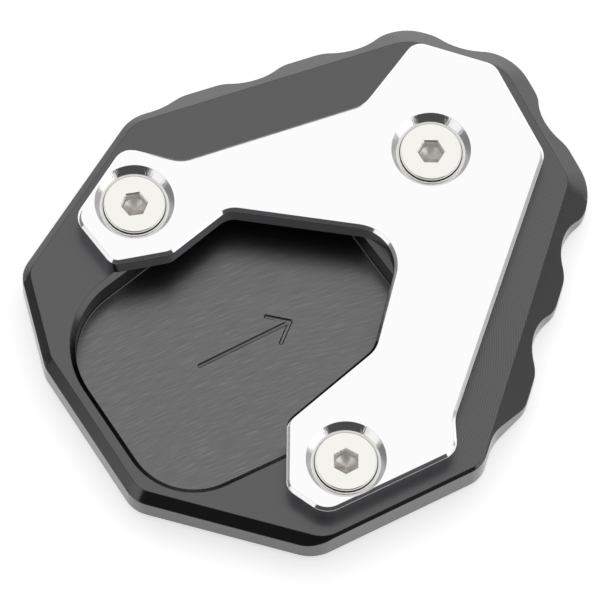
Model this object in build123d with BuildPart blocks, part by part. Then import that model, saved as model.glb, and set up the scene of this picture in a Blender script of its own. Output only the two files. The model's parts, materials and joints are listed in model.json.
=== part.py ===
"""Kickstand foot enlarger: a machined base plate, a clamp plate and three countersunk screws.

The stand's own foot lies in the pocket of the base plate and the clamp plate holds it
down.  Millimetres.  X runs to the right and Y to the back as seen from above, Z points up
from the underside, which lies at Z = 0.
"""
from build123d import *
import math
import os

os.makedirs("parts", exist_ok=True)

# Heights.
BASE_THICKNESS = 9.0        # whole base plate
FLOOR_THICKNESS = 2.2       # base plate under the pocket
CLAMP_THICKNESS = 4.5       # clamp plate

# Base plate.  Corners of the top face, clockwise from the left tip, before rounding.
TOP_CORNERS = [
    (-51.4, 1.3),           # left tip
    (-32.2, 31.2),          # back left
    (19.1, 48.6),           # back
    (37.1, 42.9),           # back right
    (48.9, 20.3),           # right
    (32.0, -36.1),          # front right
    (3.0, -51.0),           # front tip
    (-31.0, -41.6),         # front left
    (-47.2, -15.7),         # left
]
TOP_RADII = [3.5, 6.0, 9.0, 7.0, 4.5, 4.5, 6.0, 4.5, 4.5]
LEFT, BACK, BACK_TURN, RIGHT_TURN, RIGHT, FRONT_RIGHT, FRONT, FRONT_LEFT, LEFT_END = range(9)

# How far the outer wall stands outside the top face; the flank between them falls at 45.
PLAIN_REACH = 1.5           # two sides at the left
FRONT_LEFT_REACH = 1.75
FRONT_REACH = 1.95
FRONT_RIGHT_REACH = 0.6
CREST_REACH = 4.0           # scalloped sides, at the crests
RIGHT_TURN_CREST_REACH = 3.75
RIGHT_CREST_REACH = 4.3     # the crests of the right side stand out a little more
VALLEY_REACH = 2.0          # scalloped sides, at the bottom of a scallop
HEEL_REACH = 0.25           # where the right side runs in to its front corner
CREST_RADIUS = 9.0          # corner between the two scalloped sides at the back
RIGHT_CREST_RADIUS = 11.0   # the two corners that follow it

# Scallops along the outer wall.
SCALLOP_RADIUS = 9.0
SHOULDER_RADIUS = 5.5       # least radius of the outer wall's outward corners
SCALLOP_PITCH = 19.8
BACK_FIRST_SCALLOP = 24.8   # distances from the start of each side to its first scallop
BACK_TURN_SCALLOP = 9.6
BACK_TURN_VALLEY_REACH = 2.45   # this scallop is a little shallower than the others
RIGHT_TURN_SCALLOP = 12.4
RIGHT_FIRST_SCALLOP = 11.2
BACK_STEP = (6.2, 10.8)     # foot and top of the step where the crests begin
RIGHT_STEP = (44.6, 52.6)   # top and foot of the step where they end

UNDERSIDE_CHAMFER = 2.0

# Pocket for the stand's foot: corners of its rim before rounding.
POCKET_CORNERS = [
    (-49.1, -9.9),
    (-2.2, 28.8),
    (30.7, -17.9),
    (-25.8, -46.3),
]
POCKET_RADII = [16.5, 15.0, 14.0, 13.5]
POCKET_RIM_CHAMFER = 1.05

# Clamp plate: corners before rounding, each with its radius.
CLAMP_CORNERS = [
    (-34.2, 24.6, 3.5),     # arm over the left screw
    (-23.2, 21.9, 6.0),
    (10.7, 33.6, 5.0),
    (20.2, 46.5, 3.0),      # arm over the back screw
    (35.1, 41.8, 3.5),
    (44.2, 23.7, 3.5),
    (26.8, -28.9, 6.5),     # arm over the front screw
    (27.2, -35.7, 3.5),
    (2.9, -48.0, 4.5),
    (-4.2, -42.9, 3.0),
    (-4.0, -29.6, 3.0),
    (12.0, -15.4, 5.0),     # opening for the leg of the stand
    (17.8, 7.4, 7.5),
    (-14.7, 12.0, 4.0),
    (-25.2, 3.1, 4.0),
    (-36.1, 0.9, 2.5),
    (-43.2, 10.3, 3.5),
]
CLAMP_EDGE_CHAMFER = 0.6

# Screws: M6, countersunk, hexagon socket, 12 mm long over the head.
SCREWS = [(-32.0, 13.4), (23.0, 24.3), (6.8, -37.3)]
SOCKET_TURNS = [9.0, 0.0, 30.0]     # where each screw happened to stop, in degrees
SCREW_END_Z = 0.55          # screw end above the underside
THREAD_DIAMETER = 6.0
THREAD_GAP = 0.05           # between thread and tapped hole, both drawn plain
CLEARANCE_HOLE = 6.6        # in the clamp plate
COUNTERSINK_DIAMETER = 14.8
HEAD_DIAMETER = 11.8
HEAD_LAND = 0.3             # height of the head's rim above its cone
HEAD_BEVEL = 0.25           # between the rim and the head face
SCREW_END_CHAMFER = 0.6
SOCKET_FLATS = 4.0
SOCKET_MOUTH = 4.5          # across the flats at the head face
SOCKET_DEPTH = 2.2
DRILL_ANGLE = 59.0          # half angle of the drilled bottom
HOLE_MOUTH_CHAMFER = 0.5    # at the underside

TOP_Z = BASE_THICKNESS
POCKET_DEPTH = BASE_THICKNESS - FLOOR_THICKNESS
CLAMP_TOP_Z = BASE_THICKNESS + CLAMP_THICKNESS
HEAD_SINK = (COUNTERSINK_DIAMETER - HEAD_DIAMETER) / 2 - HEAD_LAND - HEAD_BEVEL
HEAD_FACE_Z = CLAMP_TOP_Z - HEAD_SINK       # the head's cone lies in the countersink
SCREW_LENGTH = HEAD_FACE_Z - SCREW_END_Z
BEVEL_ANGLE = 45.0          # of the flank, countersinks and socket mouths, in degrees


def along(side, distance, reach):
    """Point beside the top face: distance along one side and reach out from it."""
    start = Vector(*TOP_CORNERS[side])
    end = Vector(*TOP_CORNERS[(side + 1) % len(TOP_CORNERS)])
    run = (end - start).normalized()
    outward = Vector(-run.Y, run.X)
    return start + run * distance + outward * reach


def outer_corner(side_before, reach_before, side, reach):
    """Where the walls beside two neighbouring sides would meet."""
    first = along(side_before, 0, reach_before)
    second = along(side, 0, reach)
    run_before = along(side_before, 1, reach_before) - first
    run = along(side, 1, reach) - second
    gap = second - first
    steps = (gap.X * run.Y - gap.Y * run.X) / (run_before.X * run.Y - run_before.Y * run.X)
    return first + run_before * steps


def grown_radius(side, reach):
    """Radius that keeps the flank's width round the corner where a side starts."""
    return TOP_RADII[side] + reach


def outer_wall_corners():
    """Corners of the outer wall with their radii, still without the scallops."""
    step_foot, step_top = BACK_STEP
    last_top, last_foot = RIGHT_STEP
    plain_corners = [
        (LEFT_END, PLAIN_REACH, LEFT, PLAIN_REACH),
        (LEFT, PLAIN_REACH, BACK, VALLEY_REACH),
        (RIGHT, HEEL_REACH, FRONT_RIGHT, FRONT_RIGHT_REACH),
        (FRONT_RIGHT, FRONT_RIGHT_REACH, FRONT, FRONT_REACH),
        (FRONT, FRONT_REACH, FRONT_LEFT, FRONT_LEFT_REACH),
        (FRONT_LEFT, FRONT_LEFT_REACH, LEFT_END, PLAIN_REACH),
    ]
    plain = [(outer_corner(*corner), grown_radius(*corner[2:])) for corner in plain_corners]
    right_turn_corner = outer_corner(BACK_TURN, CREST_REACH, RIGHT_TURN, RIGHT_TURN_CREST_REACH)
    right_corner = outer_corner(RIGHT_TURN, RIGHT_TURN_CREST_REACH, RIGHT, RIGHT_CREST_REACH)
    scalloped = [
        (along(BACK, step_foot, VALLEY_REACH), SCALLOP_RADIUS),
        (along(BACK, step_top, CREST_REACH), SHOULDER_RADIUS),
        (outer_corner(BACK, CREST_REACH, BACK_TURN, CREST_REACH), CREST_RADIUS),
        (right_turn_corner, RIGHT_CREST_RADIUS),
        (right_corner, RIGHT_CREST_RADIUS),
        (along(RIGHT, last_top, RIGHT_CREST_REACH), SHOULDER_RADIUS),
        (along(RIGHT, last_foot, HEEL_REACH), SCALLOP_RADIUS),
    ]
    return plain[:2] + scalloped + plain[2:]


def scallop_centres():
    """Cutter positions for the scallops between the steps at both ends."""
    out = VALLEY_REACH + SCALLOP_RADIUS
    return [
        along(BACK, BACK_FIRST_SCALLOP, out),
        along(BACK, BACK_FIRST_SCALLOP + SCALLOP_PITCH, out),
        along(BACK_TURN, BACK_TURN_SCALLOP, BACK_TURN_VALLEY_REACH + SCALLOP_RADIUS),
        along(RIGHT_TURN, RIGHT_TURN_SCALLOP, out),
        along(RIGHT, RIGHT_FIRST_SCALLOP, out),
        along(RIGHT, RIGHT_FIRST_SCALLOP + SCALLOP_PITCH, out),
    ]


with BuildPart() as base_plate:
    wall = outer_wall_corners()
    with BuildSketch():
        with BuildLine():
            FilletPolyline(*[p for p, _ in wall], radius=[r for _, r in wall], close=True)
        make_face()
        with Locations(*scallop_centres()):
            Circle(SCALLOP_RADIUS, mode=Mode.SUBTRACT)
        # Moved in and out again, the outline keeps its size and its shoulders get round.
        offset(amount=-SHOULDER_RADIUS, mode=Mode.REPLACE)
        offset(amount=SHOULDER_RADIUS, mode=Mode.REPLACE)
    extrude(amount=BASE_THICKNESS)
    chamfer(base_plate.faces().sort_by(Axis.Z)[0].outer_wire().edges(), UNDERSIDE_CHAMFER)

    with BuildSketch(Plane.XY.offset(TOP_Z)):
        with BuildLine():
            FilletPolyline(*TOP_CORNERS, radius=TOP_RADII, close=True)
        make_face()
    extrude(amount=-BASE_THICKNESS, taper=-BEVEL_ANGLE, mode=Mode.INTERSECT)

    with BuildSketch(Plane.XY.offset(TOP_Z)):
        with BuildLine():
            FilletPolyline(*POCKET_CORNERS, radius=POCKET_RADII, close=True)
        make_face()
        offset(amount=-POCKET_RIM_CHAMFER, mode=Mode.REPLACE)
    extrude(amount=-POCKET_DEPTH, mode=Mode.SUBTRACT)
    rim = base_plate.faces().sort_by(Axis.Z)[-1].inner_wires()[0]
    chamfer(rim.edges(), POCKET_RIM_CHAMFER)

    with Locations(Plane.XY.offset(TOP_Z)):
        with Locations(*SCREWS):
            Hole(THREAD_DIAMETER / 2 + THREAD_GAP)
    mouths = base_plate.faces().sort_by(Axis.Z)[0].inner_wires()
    chamfer([edge for mouth in mouths for edge in mouth.edges()], HOLE_MOUTH_CHAMFER)
base_plate.part.label = "base_plate"
export_step(base_plate.part, "parts/base_plate.step")


with BuildPart() as clamp_plate:
    with BuildSketch(Plane.XY.offset(TOP_Z)):
        with BuildLine():
            FilletPolyline(
                *[(x, y) for x, y, _ in CLAMP_CORNERS],
                radius=[r for _, _, r in CLAMP_CORNERS],
                close=True,
            )
        make_face()
    extrude(amount=CLAMP_THICKNESS)
    chamfer(clamp_plate.faces().sort_by(Axis.Z)[-1].edges(), CLAMP_EDGE_CHAMFER)
    with Locations(Plane.XY.offset(CLAMP_TOP_Z)):
        with Locations(*SCREWS):
            CounterSinkHole(
                CLEARANCE_HOLE / 2,
                COUNTERSINK_DIAMETER / 2,
                counter_sink_angle=2 * BEVEL_ANGLE,
            )
clamp_plate.part.label = "clamp_plate"
export_step(clamp_plate.part, "parts/clamp_plate.step")


def screw_profile():
    """Half section of a screw: radius and height from the head face; its bevels are 45."""
    rim = HEAD_DIAMETER / 2
    shank = THREAD_DIAMETER / 2
    cone_top = -HEAD_BEVEL - HEAD_LAND
    return [
        (0, 0),
        (rim - HEAD_BEVEL, 0),
        (rim, -HEAD_BEVEL),
        (rim, cone_top),
        (shank, cone_top - (rim - shank)),
        (shank, -SCREW_LENGTH + SCREW_END_CHAMFER),
        (shank - SCREW_END_CHAMFER, -SCREW_LENGTH),
        (0, -SCREW_LENGTH),
    ]


def add_screw(x, y, turn):
    """One screw in the part being built, its head down in its countersink."""
    section = Plane(origin=(x, y, HEAD_FACE_Z), x_dir=(1, 0, 0), z_dir=(0, -1, 0))
    head_face = Plane(Location((x, y, HEAD_FACE_Z), (0, 0, turn)))
    with BuildSketch(section) as half:
        with BuildLine():
            Polyline(*screw_profile(), close=True)
        make_face()
    revolve(half.sketch, axis=Axis((x, y, 0), (0, 0, 1)))
    with BuildSketch(head_face) as hexagon:
        RegularPolygon(SOCKET_FLATS / 2, 6, major_radius=False)
    extrude(hexagon.sketch, amount=-SOCKET_DEPTH, mode=Mode.SUBTRACT)
    half_flats = SOCKET_FLATS / 2
    from_top = (Align.CENTER, Align.CENTER, Align.MAX)
    with Locations((x, y, HEAD_FACE_Z - SOCKET_DEPTH)):
        tip = half_flats / math.tan(math.radians(DRILL_ANGLE))
        Cone(0, half_flats, tip, align=from_top, mode=Mode.SUBTRACT)
    with BuildSketch(head_face) as mouth:
        RegularPolygon(SOCKET_MOUTH / 2, 6, major_radius=False)
    lead_in = SOCKET_MOUTH / 2 - half_flats
    extrude(mouth.sketch, amount=-lead_in, taper=BEVEL_ANGLE, mode=Mode.SUBTRACT)


with BuildPart() as clamp_screws:
    for (screw_x, screw_y), socket_turn in zip(SCREWS, SOCKET_TURNS):
        add_screw(screw_x, screw_y, socket_turn)
clamp_screws.part.label = "clamp_screws"
export_step(clamp_screws.part, "parts/clamp_screws.step")

for node in (base_plate, clamp_plate, clamp_screws):
    box = node.part.bounding_box()
    print(node.part.label, "volume", round(node.part.volume, 1), "solids", len(node.part.solids()),
          "box", [round(v, 2) for v in (*box.min, *box.max)])
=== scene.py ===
# %% [markdown]
# A kickstand foot enlarger: a black anodised base plate, a bright clamp plate and three
# countersunk screws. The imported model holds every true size. This script loads it as a
# frame that never moves, then gives it finished pieces, materials, light and a camera.

# %% Load the frame
import json
import math

import bmesh
import bpy
from mathutils import Matrix, Vector

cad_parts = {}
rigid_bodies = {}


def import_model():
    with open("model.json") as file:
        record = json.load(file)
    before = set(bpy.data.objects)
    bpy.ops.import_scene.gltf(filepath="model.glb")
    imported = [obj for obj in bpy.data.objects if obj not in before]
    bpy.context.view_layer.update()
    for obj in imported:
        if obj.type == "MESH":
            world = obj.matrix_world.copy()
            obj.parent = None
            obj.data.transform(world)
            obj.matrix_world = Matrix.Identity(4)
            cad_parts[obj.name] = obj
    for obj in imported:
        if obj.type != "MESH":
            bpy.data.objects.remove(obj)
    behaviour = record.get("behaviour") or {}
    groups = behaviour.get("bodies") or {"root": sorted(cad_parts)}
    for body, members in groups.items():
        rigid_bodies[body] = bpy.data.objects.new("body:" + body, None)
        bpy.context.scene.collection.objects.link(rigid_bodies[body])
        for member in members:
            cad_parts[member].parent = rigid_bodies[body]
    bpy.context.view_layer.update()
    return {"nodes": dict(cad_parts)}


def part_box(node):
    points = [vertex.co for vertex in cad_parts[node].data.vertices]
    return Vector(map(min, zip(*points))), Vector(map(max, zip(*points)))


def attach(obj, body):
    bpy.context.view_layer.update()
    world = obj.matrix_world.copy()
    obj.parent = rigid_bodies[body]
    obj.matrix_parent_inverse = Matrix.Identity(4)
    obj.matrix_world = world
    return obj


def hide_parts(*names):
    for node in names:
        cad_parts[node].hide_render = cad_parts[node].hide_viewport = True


for leftover in list(bpy.data.objects):
    bpy.data.objects.remove(leftover)
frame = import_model()
MM = 0.001
print("nodes", sorted(frame["nodes"]))

# %% [markdown]
# The real product is seen from above and a little in front, through a long lens. The
# camera's place and turn were solved from the plates' outlines and the round countersinks,
# so they are written as a distance and two angles rather than tuned by eye.

# %% Camera
CAMERA_DISTANCE = 1.4
CAMERA_TARGET = Vector((-0.4, -7.2, 13.5)) * MM
CAMERA_TILT = math.radians(22.1)    # away from straight down
CAMERA_LEAN = math.radians(94.0)    # towards the front, measured in the picture
LENS = 447.8                        # mm, on a 36 mm sensor

hinge = Vector((-math.sin(CAMERA_LEAN), -math.cos(CAMERA_LEAN), 0))
camera_turn = Matrix.Rotation(-CAMERA_TILT, 3, hinge)
camera_data = bpy.data.cameras.new("camera")
camera_data.lens = LENS
camera_data.clip_end = 20
camera = bpy.data.objects.new("camera", camera_data)
bpy.context.scene.collection.objects.link(camera)
towards_camera = camera_turn @ Vector((0, 0, 1))
camera_place = CAMERA_TARGET + towards_camera * CAMERA_DISTANCE
camera.matrix_world = Matrix.Translation(camera_place) @ camera_turn.to_4x4()
bpy.context.scene.camera = camera
print("camera at", [round(v, 4) for v in camera_place])

# %% [markdown]
# Colours are written as the hex values a paint program shows. Blender's shaders want
# linear light, so one function turns them. A second small function adds a shader node
# with its settings and its links in one call, which keeps each material short to read.

# %% Colour and shader helpers
def linear(hex_colour):
    """sRGB hex to linear RGBA."""
    parts = [int(hex_colour[i:i + 2], 16) / 255 for i in (1, 3, 5)]
    return [p / 12.92 if p <= 0.04045 else ((p + 0.055) / 1.055) ** 2.4 for p in parts] + [1.0]


def add_node(tree, kind, inputs=None, **settings):
    """A new shader node. An input is a value, or another node's output to link from."""
    made = tree.nodes.new(kind)
    for name, value in settings.items():
        setattr(made, name, value)
    for socket, value in (inputs or {}).items():
        if isinstance(value, bpy.types.NodeSocket):
            tree.links.new(value, made.inputs[socket])
        else:
            made.inputs[socket].default_value = value
    return made


def new_material(name):
    """An empty node material and its tree."""
    material = bpy.data.materials.new(name)
    material.use_nodes = True
    material.node_tree.nodes.clear()
    return material, material.node_tree


def finish_material(tree, shader):
    """Links a shader to the material's output."""
    add_node(tree, "ShaderNodeOutputMaterial", {"Surface": shader.outputs[0]})


print("mid grey in linear light:", [round(c, 3) for c in linear("#808080")[:3]])

# %% [markdown]
# Machined metal is mostly reflection, so the studio matters as much as the material. A
# pale dome lights it softly from above. Low down the dome is greyer, most of all on the
# left, which shades the bevels. Cards stand round the set and show only in reflections: a
# black one in front gives the front bevels and countersinks their dark edge, and a white
# one on each side of it gives them a crisp light end. The floor is white: for camera,
# glossy and transmission rays it gets a little light of its own, and its plain diffuse
# part still takes the object's shadow.

# %% Floor
FLOOR_HALF = 8.0
FLOOR_LIFT = 0.62

bpy.ops.mesh.primitive_plane_add(size=2 * FLOOR_HALF, location=(0, 0, 0))
floor = bpy.context.object
floor.name = "floor"
floor_material, tree = new_material("white studio floor")
paint = add_node(tree, "ShaderNodeBsdfDiffuse", {"Color": linear("#E6E6E6")})
rays = add_node(tree, "ShaderNodeLightPath")
seen = add_node(tree, "ShaderNodeMath", {
    0: rays.outputs["Is Camera Ray"],
    1: rays.outputs["Is Glossy Ray"],
}, operation="MAXIMUM")
seen = add_node(tree, "ShaderNodeMath", {
    0: seen.outputs[0],
    1: rays.outputs["Is Transmission Ray"],
}, operation="MAXIMUM")
lift = add_node(tree, "ShaderNodeMath", {0: seen.outputs[0], 1: FLOOR_LIFT}, operation="MULTIPLY")
glow = add_node(tree, "ShaderNodeEmission", {
    "Color": linear("#FFFFFF"),
    "Strength": lift.outputs[0],
})
both = add_node(tree, "ShaderNodeAddShader", {0: paint.outputs[0], 1: glow.outputs[0]})
finish_material(tree, both)
floor.data.materials.append(floor_material)
print("floor", 2 * FLOOR_HALF, "m wide")

# %% Dome
BRIGHT_TOWARDS = (0.0, 0.55, 0.835)     # overhead and towards the back
DOME_BRIGHT = 1.03
DOME_DARK_LEFT = 0.22                   # low down, and round the camera
DOME_DARK_RIGHT = 0.46
DARK_BELOW = 0.55                       # cosines from the bright direction
BRIGHT_ABOVE = 0.88

world = bpy.data.worlds.new("studio dome")
bpy.context.scene.world = world
world.use_nodes = True
tree = world.node_tree
tree.nodes.clear()
direction = add_node(tree, "ShaderNodeTexCoord")
nearness = add_node(tree, "ShaderNodeVectorMath", {
    0: direction.outputs["Generated"],
    1: BRIGHT_TOWARDS,
}, operation="DOT_PRODUCT")
sides = add_node(tree, "ShaderNodeSeparateXYZ", {0: direction.outputs["Generated"]})
low_shade = add_node(tree, "ShaderNodeMapRange", {
    "Value": sides.outputs["X"],
    "From Min": -1.0,
    "To Min": DOME_DARK_LEFT,
    "To Max": DOME_DARK_RIGHT,
})
strength = add_node(tree, "ShaderNodeMapRange", {
    "Value": nearness.outputs["Value"],
    "From Min": DARK_BELOW,
    "From Max": BRIGHT_ABOVE,
    "To Min": low_shade.outputs[0],
    "To Max": DOME_BRIGHT,
}, interpolation_type="SMOOTHSTEP")
sky = add_node(tree, "ShaderNodeBackground", {
    "Color": linear("#FFFFFF"),
    "Strength": strength.outputs[0],
})
add_node(tree, "ShaderNodeOutputWorld", {"Surface": sky.outputs[0]})
print("dome from", DOME_DARK_LEFT, "to", DOME_BRIGHT)

# %% Cards round the set
CARD_TOP = 0.60
# Each card: azimuths of its two ends in degrees, from the front to the right, then its
# distance, the height of its foot and its strength.
BLACK_CARD = (-55.0, 55.0, 0.60, 0.0, 0.07)
LEFT_CARD = (-75.0, -38.0, 0.55, 0.06, 1.0)
RIGHT_CARD = (45.0, 90.0, 0.55, 0.06, 1.3)


def add_card(name, start, end, distance, low, shade):
    """A flat card standing round the set, seen in reflections only."""
    turn = math.radians((start + end) / 2)
    width = 2 * distance * math.tan(math.radians(end - start) / 2)
    out = Vector((math.sin(turn), -math.cos(turn), 0))
    bpy.ops.object.select_all(action="DESELECT")
    bpy.ops.mesh.primitive_plane_add(size=1, location=(0, 0, 0))
    card = bpy.context.object
    card.name = name
    stand = Matrix.Rotation(turn, 4, "Z") @ Matrix.Rotation(math.radians(90), 4, "X")
    size = Matrix.Diagonal((width, CARD_TOP - low, 1, 1))
    middle = out * distance + Vector((0, 0, (low + CARD_TOP) / 2))
    card.data.transform(Matrix.Translation(middle) @ stand @ size)
    material, tree = new_material(name)
    finish_material(tree, add_node(tree, "ShaderNodeEmission", {"Strength": shade}))
    card.data.materials.append(material)
    card.visible_camera = False
    card.visible_diffuse = False
    card.visible_shadow = False


add_card("black_card", *BLACK_CARD)
add_card("left_reflector", *LEFT_CARD)
add_card("right_reflector", *RIGHT_CARD)
print("cards up to", CARD_TOP, "m")

# %% [markdown]
# Every piece is bare or anodised metal, so the finishes share a few helpers: one gives
# coordinates in millimetres, one a plain metal, one raises its surface by a pattern, one
# tints it by a pattern, and one gives it the even grain of a cutter's side.

# %% Metal helpers
WAVE_PERIOD = 2 * math.pi / 20          # a wave texture's own period at scale 1
GRAIN_STRENGTH = 0.3


def mm_coordinates(tree, centre=(0, 0)):
    """Object coordinates in millimetres, counted from a centre."""
    place = add_node(tree, "ShaderNodeTexCoord")
    return add_node(tree, "ShaderNodeMapping", {
        "Vector": place.outputs["Object"],
        "Location": (-centre[0], -centre[1], 0),
        "Scale": (1 / MM, 1 / MM, 1 / MM),
    })


def metal(name, colour, roughness):
    """A bare metal: its material, tree and shader."""
    material, tree = new_material(name)
    shader = add_node(tree, "ShaderNodeBsdfPrincipled", {
        "Base Color": linear(colour),
        "Metallic": 1.0,
        "Roughness": roughness,
    })
    finish_material(tree, shader)
    return material, tree, shader


def add_bump(tree, shader, height, depth_mm, strength):
    """Raises a shader's surface by a pattern: depth in millimetres."""
    bump = add_node(tree, "ShaderNodeBump", {
        "Height": height,
        "Distance": depth_mm * MM,
        "Strength": strength,
    })
    tree.links.new(bump.outputs[0], shader.inputs["Normal"])


def add_tints(tree, shader, amount, dark, light, low, high):
    """Colours a shader from a dark to a light tint as a pattern goes from low to high."""
    spread = add_node(tree, "ShaderNodeMapRange", {
        "Value": amount,
        "From Min": low,
        "From Max": high,
    })
    tints = add_node(tree, "ShaderNodeMix", {
        0: spread.outputs[0],
        6: linear(dark),
        7: linear(light),
    }, data_type="RGBA")
    tree.links.new(tints.outputs[2], shader.inputs["Base Color"])


def side_milled(name, colour, roughness, grains_per_mm, depth_mm):
    """A metal with the fine even grain that the side of a cutter leaves."""
    material, tree, shader = metal(name, colour, roughness)
    where = mm_coordinates(tree)
    grain = add_node(tree, "ShaderNodeTexNoise", {
        "Vector": where.outputs[0],
        "Scale": grains_per_mm,
        "Detail": 2.0,
    })
    add_bump(tree, shader, grain.outputs[0], depth_mm, GRAIN_STRENGTH)
    return material


print("a wave texture's period:", round(WAVE_PERIOD, 4))

# %% [markdown]
# Black anodised aluminium is aluminium with a dyed glassy oxide on it. Seen as a whole it
# acts as a dark metal with a satin sheen, and every tool mark under the oxide still shows.
# The top face was faced with one wide cutter, which leaves rings a fraction of a
# millimetre apart. Their contrast is fainter towards the left.

# %% Black anodised aluminium, faced top
ANODISED_ROUGHNESS = 0.27
FACED_DARK = "#575758"
FACED_LIGHT = "#676768"
RING_CENTRE = (-17.8, -12.2)        # mm, middle of the facing rings
RING_PITCH = 0.45                   # mm between rings, as fine as the picture can show
RINGS_FAINT_AT = 12.0               # mm along X, up to which the rings are faintest
RINGS_CLEAR_AT = 30.0
RINGS_FAINT = 0.2                   # share of their contrast that is left there

faced, tree, shader = metal("anodised aluminium, faced", FACED_DARK, ANODISED_ROUGHNESS)
where = mm_coordinates(tree, RING_CENTRE)
rings = add_node(tree, "ShaderNodeTexWave", {
    "Vector": where.outputs[0],
    "Scale": WAVE_PERIOD / RING_PITCH,
}, wave_type="RINGS", rings_direction="Z")
where = mm_coordinates(tree)
axes = add_node(tree, "ShaderNodeSeparateXYZ", {0: where.outputs[0]})
clear = add_node(tree, "ShaderNodeMapRange", {
    "Value": axes.outputs["X"],
    "From Min": RINGS_FAINT_AT,
    "From Max": RINGS_CLEAR_AT,
    "To Min": RINGS_FAINT,
}, interpolation_type="SMOOTHSTEP")
level = add_node(tree, "ShaderNodeMix", {
    0: clear.outputs[0],
    2: 0.5,
    3: rings.outputs["Fac"],
}, data_type="FLOAT")
add_bump(tree, shader, level.outputs[0], 0.01, 0.5)
add_tints(tree, shader, level.outputs[0], FACED_DARK, FACED_LIGHT, 0.0, 1.0)
print("rings", RING_PITCH, "mm apart round", RING_CENTRE)

# %% [markdown]
# The pocket floor was cleared with a small cutter in long shallow arcs, whose marks the
# oxide keeps as faint light scratches. They are noise drawn out along those arcs, in polar
# coordinates round their far centre, and a power of the noise leaves only a few clear.

# %% Black anodised aluminium, pocket floor
CLEARED_DARK = "#69696A"
CLEARED_LIGHT = "#929293"
MARK_CENTRE = (82.0, -240.0)        # mm, middle of the arcs on the pocket floor
MARK_WIDTH = 0.12                   # mm across a mark
MARK_LENGTH = 3.4                   # mm along a mark
MARK_SPARSENESS = 2.5               # a higher power leaves fewer marks clear

cleared, tree, shader = metal("anodised aluminium, pocketed", CLEARED_DARK, ANODISED_ROUGHNESS)
where = mm_coordinates(tree, MARK_CENTRE)
axes = add_node(tree, "ShaderNodeSeparateXYZ", {0: where.outputs[0]})
flat = add_node(tree, "ShaderNodeCombineXYZ", {"X": axes.outputs["X"], "Y": axes.outputs["Y"]})
radius = add_node(tree, "ShaderNodeVectorMath", {0: flat.outputs[0]}, operation="LENGTH")
angle = add_node(tree, "ShaderNodeMath", {
    0: axes.outputs["Y"],
    1: axes.outputs["X"],
}, operation="ARCTAN2")
along = add_node(tree, "ShaderNodeMath", {
    0: angle.outputs[0],
    1: math.hypot(*MARK_CENTRE) / MARK_LENGTH,
}, operation="MULTIPLY")
across = add_node(tree, "ShaderNodeMath", {
    0: radius.outputs["Value"],
    1: 1 / MARK_WIDTH,
}, operation="MULTIPLY")
mark_place = add_node(tree, "ShaderNodeCombineXYZ", {
    "X": along.outputs[0],
    "Y": across.outputs[0],
})
streaks = add_node(tree, "ShaderNodeTexNoise", {
    "Vector": mark_place.outputs[0],
    "Scale": 0.7,
    "Detail": 2.0,
    "Roughness": 0.55,
})
marks = add_node(tree, "ShaderNodeMapRange", {
    "Value": streaks.outputs[0],
    "From Min": 0.3,
    "From Max": 0.85,
})
peaks = add_node(tree, "ShaderNodeMath", {
    0: marks.outputs[0],
    1: MARK_SPARSENESS,
}, operation="POWER")
add_bump(tree, shader, peaks.outputs[0], 0.01, 0.4)
add_tints(tree, shader, peaks.outputs[0], CLEARED_DARK, CLEARED_LIGHT, 0.0, 1.0)
print("marks", MARK_WIDTH, "mm wide and", MARK_LENGTH, "mm long")

# %% [markdown]
# The pocket wall was cut by the side of a long end mill, which leaves it dull, and its dark
# colour is painted shade for the pocket under the clamp. A form cutter leaves the flank
# smoother. The clamp plate is the same alloy left bright: a clear finish over fine milling.
# It is nearly white where it faces the dome, so its roughness only softens what it mirrors.
# Its sides are duller than its top, and their darker colour is painted shade.

# %% Finishes with an even grain
# Painted shade: the pocket wall's dark colour stands in for the shade under the clamp.
pocket_wall_painted_shade = side_milled("anodised aluminium, side milled, painted shade", "#2C2C2D", 0.30, 3.0, 0.005)
satin = side_milled("anodised aluminium, satin", "#575758", 0.18, 4.0, 0.005)
bright = side_milled("bright aluminium, fine milled", "#F8F8F9", 0.12, 3.0, 0.003)
# Painted shade: the clamp's sides get a darker colour than its top for the shade on them.
clamp_sides_painted_shade = side_milled("bright aluminium, side milled, painted shade", "#C4C1C6", 0.22, 3.0, 0.005)
print("even finishes:", [m.name for m in (pocket_wall_painted_shade, satin, bright, clamp_sides_painted_shade)])

# %% [markdown]
# The screws are stainless steel. A lathe faced their heads, the socket was punched cold and
# is duller and a little brown, and the drill's point left its bottom cleaner. Under its rim
# the head's cone is dark grey: painted shade for the gap between head and countersink. The
# countersinks were cut by a hand-fed cutter that chattered, which leaves short marks down
# the cone. These patterns follow each screw's own axis, which the pieces carry as an
# attribute.

# %% Stainless steel and countersinks
TURNING_PITCH = 0.22        # mm between the lathe's rings on a screw's head
SOCKET_DARK = "#E7E4DF"
SOCKET_LIGHT = "#F8F6F3"
CHATTER_MARKS = 60          # marks round a countersink


def axis_coordinates(tree):
    """Coordinates in millimetres from the nearest screw's own axis."""
    return add_node(tree, "ShaderNodeAttribute", attribute_name="local",
                    attribute_type="GEOMETRY").outputs["Vector"]


def scuffed(name, colour, roughness, grains_per_mm, detail, depth_mm, strength):
    """A metal with a grain of its own on each screw: as metal gives it, and its grain."""
    material, tree, shader = metal(name, colour, roughness)
    grain = add_node(tree, "ShaderNodeTexNoise", {
        "Vector": axis_coordinates(tree),
        "Scale": grains_per_mm,
        "Detail": detail,
    })
    add_bump(tree, shader, grain.outputs[0], depth_mm, strength)
    return material, tree, shader, grain


stainless, tree, shader = metal("stainless steel", "#F1F0EB", 0.16)
turning = add_node(tree, "ShaderNodeTexWave", {
    "Vector": axis_coordinates(tree),
    "Scale": WAVE_PERIOD / TURNING_PITCH,
    "Distortion": 0.6,
    "Detail": 2.0,
}, wave_type="RINGS", rings_direction="Z")
add_bump(tree, shader, turning.outputs["Fac"], 0.004, 0.4)

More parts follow.
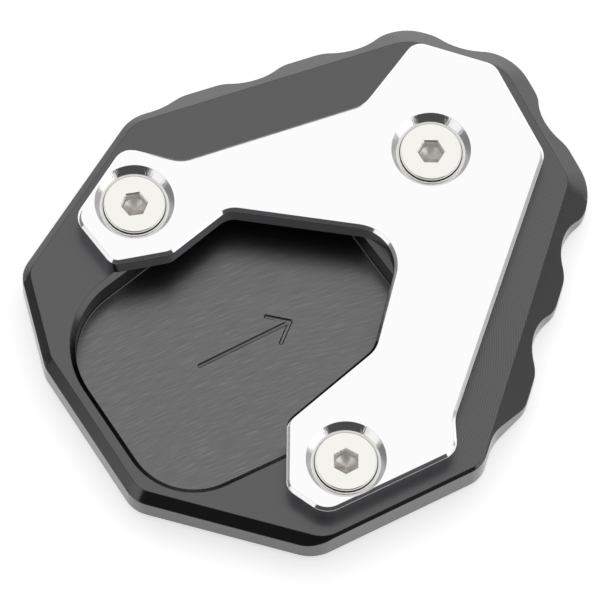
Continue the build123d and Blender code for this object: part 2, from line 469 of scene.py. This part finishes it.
punched, tree, shader, grain = scuffed("stainless steel, punched", SOCKET_DARK, 0.50,
                                       2.5, 3.0, 0.06, 0.5)
add_tints(tree, shader, grain.outputs[0], SOCKET_DARK, SOCKET_LIGHT, 0.35, 0.65)
drilled = scuffed("stainless steel, drilled", "#EEEBE6", 0.30, 2.5, 3.0, 0.10, 0.6)[0]
# Painted shade: the head's cone under its rim is dark grey, for the shade of its gap.
head_underside_painted_shade = scuffed("stainless steel, head underside, painted shade", "#383634", 0.40, 4.0, 2.0, 0.01, 0.4)[0]

countersunk, tree, shader = metal("bright aluminium, countersunk", "#F4F4F4", 0.12)
axes = add_node(tree, "ShaderNodeSeparateXYZ", {0: axis_coordinates(tree)})
angle = add_node(tree, "ShaderNodeMath", {
    0: axes.outputs["Y"],
    1: axes.outputs["X"],
}, operation="ARCTAN2")
turns = add_node(tree, "ShaderNodeMath", {
    0: angle.outputs[0],
    1: CHATTER_MARKS / 2,
}, operation="MULTIPLY")
mark_place = add_node(tree, "ShaderNodeCombineXYZ", {
    "X": turns.outputs[0],
    "Y": axes.outputs["Z"],
})
chatter = add_node(tree, "ShaderNodeTexNoise", {
    "Vector": mark_place.outputs[0],
    "Scale": 1.0,
    "Detail": 2.0,
})
add_bump(tree, shader, chatter.outputs[0], 0.05, 0.6)
print("screw finishes:", [m.name for m in (stainless, punched, drilled, head_underside_painted_shade, countersunk)])

# %% [markdown]
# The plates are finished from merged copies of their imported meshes, which keep every size.
# Flat areas are first made whole again, then a fine bevel breaks each sharp edge as a
# machinist's file would, so that the edges catch a thin line of light.

# %% Mesh helpers
NEAR = 0.02 * MM
WELD = 0.001 * MM
SHARP = math.radians(25)    # edges that turn more than this are broken
FLAT_WITHIN = math.radians(0.3)


def make_active(piece):
    """Selects one object alone and makes it the active one."""
    bpy.ops.object.select_all(action="DESELECT")
    piece.select_set(True)
    bpy.context.view_layer.objects.active = piece


def merged_copy(node, name):
    """A welded copy of a CAD node's mesh, with its flat areas made whole."""
    piece = frame["nodes"][node].copy()
    piece.data = frame["nodes"][node].data.copy()
    piece.parent = None
    for key in list(piece.keys()):
        del piece[key]
    piece.name = name
    bpy.context.scene.collection.objects.link(piece)
    make_active(piece)
    bpy.ops.object.mode_set(mode="EDIT")
    bpy.ops.mesh.select_all(action="SELECT")
    bpy.ops.mesh.remove_doubles(threshold=WELD)
    bpy.ops.mesh.normals_make_consistent(inside=False)
    bpy.ops.mesh.dissolve_limited(angle_limit=FLAT_WITHIN)
    bpy.ops.object.mode_set(mode="OBJECT")
    piece.data.materials.clear()
    return piece


def apply_modifier(piece, kind, **settings):
    """Adds a modifier with its settings and applies it."""
    make_active(piece)
    modifier = piece.modifiers.new("step", kind)
    for name, value in settings.items():
        setattr(modifier, name, value)
    bpy.ops.object.modifier_apply(modifier=modifier.name)


def break_edges(piece, width_mm):
    """A fine two-step bevel on every sharp edge."""
    apply_modifier(piece, "BEVEL", width=width_mm * MM, segments=2, limit_method="ANGLE",
                   angle_limit=SHARP, use_clamp_overlap=False)


def cut(piece, cutter):
    """Cuts one object out of another and removes the cutter."""
    apply_modifier(piece, "BOOLEAN", object=cutter, operation="DIFFERENCE", solver="EXACT")
    bpy.data.objects.remove(cutter)


def open_edges(piece):
    """How many edges don't have exactly two faces."""
    shape = bmesh.new()
    shape.from_mesh(piece.data)
    count = sum(len(edge.link_faces) != 2 for edge in shape.edges)
    shape.free()
    return count


def print_faces(piece):
    """Prints a piece's number of faces and of open edges."""
    print(piece.name, len(piece.data.polygons), "faces,", open_edges(piece), "open edges")


print("edges are broken from", round(math.degrees(SHARP)), "degrees")

# %% Plates with broken edges
BASE_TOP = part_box("base_plate")[1].z
POCKET_FLOOR = 2.2 * MM
NOSE_RADIUS = 0.25          # mm, end mill's nose
NOSE_STEPS = 4              # faces across that round
BASE_EDGE_BREAK = 0.10      # mm
CLAMP_EDGE_BREAK = 0.05     # mm


def round_pocket_floor(piece):
    """The end mill's nose leaves a small round where the pocket wall meets its floor."""
    bpy.ops.object.mode_set(mode="EDIT")
    bpy.ops.mesh.select_mode(type="EDGE")
    bpy.ops.mesh.select_all(action="DESELECT")
    shape = bmesh.from_edit_mesh(piece.data)
    for edge in shape.edges:
        level = all(abs(vertex.co.z - POCKET_FLOOR) < NEAR for vertex in edge.verts)
        if level and edge.calc_face_angle(0) > SHARP:
            edge.select = True
    bmesh.update_edit_mesh(piece.data)
    bpy.ops.mesh.bevel(offset=NOSE_RADIUS * MM, segments=NOSE_STEPS, affect="EDGES",
                       clamp_overlap=False)
    bpy.ops.mesh.select_mode(type="VERT")
    bpy.ops.object.mode_set(mode="OBJECT")


base = merged_copy("base_plate", "base_plate_machined")
round_pocket_floor(base)
break_edges(base, BASE_EDGE_BREAK)
clamp = merged_copy("clamp_plate", "clamp_plate_machined")
break_edges(clamp, CLAMP_EDGE_BREAK)
print_faces(base)
print_faces(clamp)

# %% [markdown]
# The pocket floor carries a shallow engraved mark. Here it is a plain arrow of three
# strokes, cut with a ball-nosed tool, so each has a round bottom and round ends. The cutter
# for a stroke is a small sphere with one half drawn out to the stroke's length.

# %% Engraved arrow
STROKE_RADIUS = 0.43        # mm, the tool's nose
STROKE_DEPTH = 0.45         # mm below the floor
STROKE_SIDES = 24
ARROW_TIP = (-3.0, -5.7)    # mm
ARROW_TURN = 28.0           # degrees, the way the arrow points
ARROW_LENGTH = 19.0
BARB_LENGTH = 4.6
BARB_ANGLE = 40.0           # degrees, each barb from the shaft


def stroke_cutter(start, direction, length):
    """A capsule from a point in mm, along a direction in degrees."""
    bpy.ops.object.select_all(action="DESELECT")
    bpy.ops.mesh.primitive_uv_sphere_add(segments=STROKE_SIDES, ring_count=STROKE_SIDES // 2,
                                         radius=STROKE_RADIUS * MM)
    cutter = bpy.context.object
    bpy.ops.object.mode_set(mode="EDIT")
    bpy.ops.mesh.select_all(action="DESELECT")
    shape = bmesh.from_edit_mesh(cutter.data)
    for vertex in shape.verts:
        vertex.select = vertex.co.x > NEAR / 2      # the front half only
    shape.select_flush(True)
    bmesh.update_edit_mesh(cutter.data)
    bpy.ops.transform.translate(value=(length * MM, 0, 0))
    bpy.ops.mesh.select_all(action="SELECT")
    bpy.ops.transform.rotate(value=-math.radians(direction), orient_axis="Z",
                             center_override=(0, 0, 0))
    middle = POCKET_FLOOR + (STROKE_RADIUS - STROKE_DEPTH) * MM
    bpy.ops.transform.translate(value=(start[0] * MM, start[1] * MM, middle))
    bpy.ops.object.mode_set(mode="OBJECT")
    return cutter


backwards = ARROW_TURN + 180
cut(base, stroke_cutter(ARROW_TIP, backwards, ARROW_LENGTH))
for side in (-1, 1):
    cut(base, stroke_cutter(ARROW_TIP, backwards + side * BARB_ANGLE, BARB_LENGTH))
print_faces(base)

# %% [markdown]
# Each surface gets the finish that its own cutter leaves. The faces are told apart by
# where they lie and which way they look.

# %% Materials by surface
# Each screw: its place in mm and the angle of its socket in degrees.
SCREW_PLACES = ((-32.0, 13.4, 9.0), (23.0, 24.3, 0.0), (6.8, -37.3, 30.0))
POCKET_MIDDLE = Vector((-12.0, -8.0, 0)) * MM
HOLE_REACH = 7.6 * MM       # just past a countersink's edge


def lies_at(face, height):
    """Whether a face is level and at a height."""
    return face.normal.z > 0.999 and abs(face.center.z - height) < NEAR


def in_stroke(face):
    """Whether a face is part of the engraved arrow."""
    return face.normal.z > 0.01 and POCKET_FLOOR - STROKE_DEPTH * MM < face.center.z < POCKET_FLOOR


def faces_pocket(face):
    """Whether a face stands upright and looks into the pocket."""
    return abs(face.normal.z) < 0.05 and face.normal.dot(POCKET_MIDDLE - face.center) > 0


def nearest_axis(place):
    """The screw axis nearest to a place, as a point on the ground."""
    axes = [Vector((x, y, 0)) * MM for x, y, _ in SCREW_PLACES]
    return min(axes, key=lambda axis: (place.xy - axis.xy).length)


def in_countersink(face):
    """Whether a face slopes down towards a screw's axis."""
    out = face.center.xy - nearest_axis(face.center).xy
    in_hole = out.length < HOLE_REACH and face.normal.xy.dot(out) < 0
    return in_hole and 0.1 < face.normal.z < 0.9


def set_finishes(piece, finishes, finish_of):
    """Gives each face the finish that a function finds for it."""
    piece.data.materials.clear()
    for finish in finishes:
        piece.data.materials.append(finish)
    for face in piece.data.polygons:
        face.material_index = finishes.index(finish_of(face))


def base_finish(face):
    """The finish of a face of the base plate."""
    if lies_at(face, BASE_TOP):
        return faced
    if lies_at(face, POCKET_FLOOR) or in_stroke(face):
        return cleared
    # Walls that face the pocket take the dark colour that paints their shade.
    return pocket_wall_painted_shade if faces_pocket(face) else satin


def clamp_finish(face):
    """The finish of a face of the clamp plate."""
    if in_countersink(face):
        return countersunk
    # Upright faces take the darker side colour, which paints their shade.
    return clamp_sides_painted_shade if abs(face.normal.z) < 0.1 else bright


set_finishes(base, [satin, faced, cleared, pocket_wall_painted_shade], base_finish)
set_finishes(clamp, [bright, clamp_sides_painted_shade, countersunk], clamp_finish)
local = clamp.data.attributes.new("local", "FLOAT_VECTOR", "POINT")
for vertex in clamp.data.vertices:
    local.data[vertex.index].vector = (vertex.co - nearest_axis(vertex.co)) / MM
print("countersunk faces:", sum(in_countersink(face) for face in clamp.data.polygons))

# %% [markdown]
# A countersunk socket screw is cold headed and then faced on a lathe. It is modelled once
# as a turned solid: a ring is extruded and resized step by step from the screw's end to
# its head. The hexagon socket is cut in three passes, as punched: the hexagon itself, the
# drilled bottom under it and the small lead-in at its mouth.

# %% One screw
HEAD_FACE = 12.55           # mm above the ground
SCREW_LENGTH = 12.0
SCREW_SIDES = 96
SHANK_RADIUS = 3.0
END_CHAMFER = 0.6
HEAD_RADIUS = 5.9           # where the head's cone would end in its countersink
HEAD_LAND = 0.3             # mm, height of the head's rim
HEAD_BEVEL = 0.25           # mm, between the rim and the head face
RIM_GAP = 0.16              # mm, the rim's play in the countersink
SEAT_RADIUS = 5.2           # mm, from here down the head's cone touches the countersink
SCREW_EDGE = 0.05           # mm, rounding of its edges
SOCKET_FLATS = 4.0
SOCKET_DEPTH = 2.2
SOCKET_MOUTH = 4.5          # mm across the flats at the head face
DRILL_ANGLE = 59.0          # degrees, half of the drill's point
DRILL_SIDES = 48
DRILL_TIP = 0.01            # mm, radius of the drill's point
CLEAR = 1.0                 # mm that a cutter stands out of the head

cone_top = -HEAD_BEVEL - HEAD_LAND
rim_radius = HEAD_RADIUS - RIM_GAP
SCREW_RINGS = (
    (SHANK_RADIUS - END_CHAMFER, -SCREW_LENGTH),
    (SHANK_RADIUS, -SCREW_LENGTH + END_CHAMFER),
    (SHANK_RADIUS, cone_top - HEAD_RADIUS + SHANK_RADIUS),
    (SEAT_RADIUS, cone_top - HEAD_RADIUS + SEAT_RADIUS),
    (rim_radius, cone_top),
    (rim_radius, -HEAD_BEVEL),
    (rim_radius - HEAD_BEVEL, 0.0),
)


def turned(name, rings, sides):
    """A closed turned solid from rings of radius and height in mm, bottom first."""
    bpy.ops.object.select_all(action="DESELECT")
    bpy.ops.mesh.primitive_circle_add(vertices=sides, radius=rings[0][0] * MM, fill_type="NGON")
    piece = bpy.context.object
    piece.name = name
    bpy.ops.object.mode_set(mode="EDIT")
    bpy.ops.mesh.select_all(action="SELECT")
    bpy.ops.transform.rotate(value=math.radians(90), orient_axis="Z", center_override=(0, 0, 0))
    bpy.ops.transform.translate(value=(0, 0, rings[0][1] * MM))
    for (radius, height), (next_radius, next_height) in zip(rings, rings[1:]):
        rise = (next_height - height) * MM
        bpy.ops.mesh.extrude_region_move(TRANSFORM_OT_translate={"value": (0, 0, rise)})
        scale = next_radius / radius
        bpy.ops.transform.resize(value=(scale, scale, 1), center_override=(0, 0, 0))
    bpy.ops.mesh.select_all(action="SELECT")
    bpy.ops.mesh.normals_make_consistent(inside=False)
    bpy.ops.object.mode_set(mode="OBJECT")
    return piece


screw = turned("screw", SCREW_RINGS, SCREW_SIDES)
break_edges(screw, SCREW_EDGE)
half_flats = SOCKET_FLATS / 2
corner = half_flats / math.cos(math.pi / 6)
cut(screw, turned("hexagon", ((corner, -SOCKET_DEPTH), (corner, CLEAR)), 6))
tip_depth = SOCKET_DEPTH + half_flats / math.tan(math.radians(DRILL_ANGLE))
drill = ((DRILL_TIP, -tip_depth), (half_flats, -SOCKET_DEPTH), (half_flats, CLEAR))
cut(screw, turned("drill", drill, DRILL_SIDES))
mouth = SOCKET_MOUTH / 2
mouth_corner = mouth / math.cos(math.pi / 6)
lead_in = ((corner, half_flats - mouth), (mouth_corner, 0), (mouth_corner + CLEAR, CLEAR))
cut(screw, turned("lead_in", lead_in, 6))
print_faces(screw)

# %% Three screws in place
def screw_finish(face):
    """The finish of a face of a screw."""
    if face.center.z < -SCREW_LENGTH / 2 * MM:
        return stainless
    if face.center.xy.length < mouth_corner * MM:
        if face.center.z > -NEAR:
            return stainless
        return drilled if face.normal.z > 0.5 else punched
    # The cone under the rim takes the dark colour that paints the gap's shade.
    return head_underside_painted_shade if -0.95 < face.normal.z < -0.2 else stainless


local = screw.data.attributes.new("local", "FLOAT_VECTOR", "POINT")
for vertex in screw.data.vertices:
    local.data[vertex.index].vector = vertex.co / MM
set_finishes(screw, [stainless, punched, head_underside_painted_shade, drilled], screw_finish)
copies = []
for x, y, turn in SCREW_PLACES:
    one = screw.copy()
    one.data = screw.data.copy()
    bpy.context.scene.collection.objects.link(one)
    place = Matrix.Translation(Vector((x, y, HEAD_FACE)) * MM)
    one.data.transform(place @ Matrix.Rotation(math.radians(turn), 4, "Z"))
    copies.append(one)
bpy.data.objects.remove(screw)
make_active(copies[0])
for one in copies:
    one.select_set(True)
bpy.ops.object.join()
screws = bpy.context.object
screws.name = "clamp_screws_turned"
print_faces(screws)

# %% [markdown]
# Round surfaces are shaded smooth, and normals weighted by the faces' areas keep the flat
# ones flat. Each piece then rides on the imported body and stands in for its plain node.

# %% Smooth shading and bodies
SMOOTH_BELOW = math.radians(28)

for piece, node, slot in (
    (base, "base_plate", "anodised_black"),
    (clamp, "clamp_plate", "bare_aluminium"),
    (screws, "clamp_screws", "stainless_steel"),
):
    make_active(piece)
    bpy.ops.object.shade_smooth_by_angle(angle=SMOOTH_BELOW)
    apply_modifier(piece, "WEIGHTED_NORMAL", mode="FACE_AREA", weight=100, keep_sharp=True)
    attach(piece, "root")
    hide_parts(node)
print("pieces", [piece.name for piece in (base, clamp, screws)])

# %% [markdown]
# The picture is shown as lit, with no film curve.

# %% View settings
bpy.context.scene.view_settings.view_transform = "Standard"
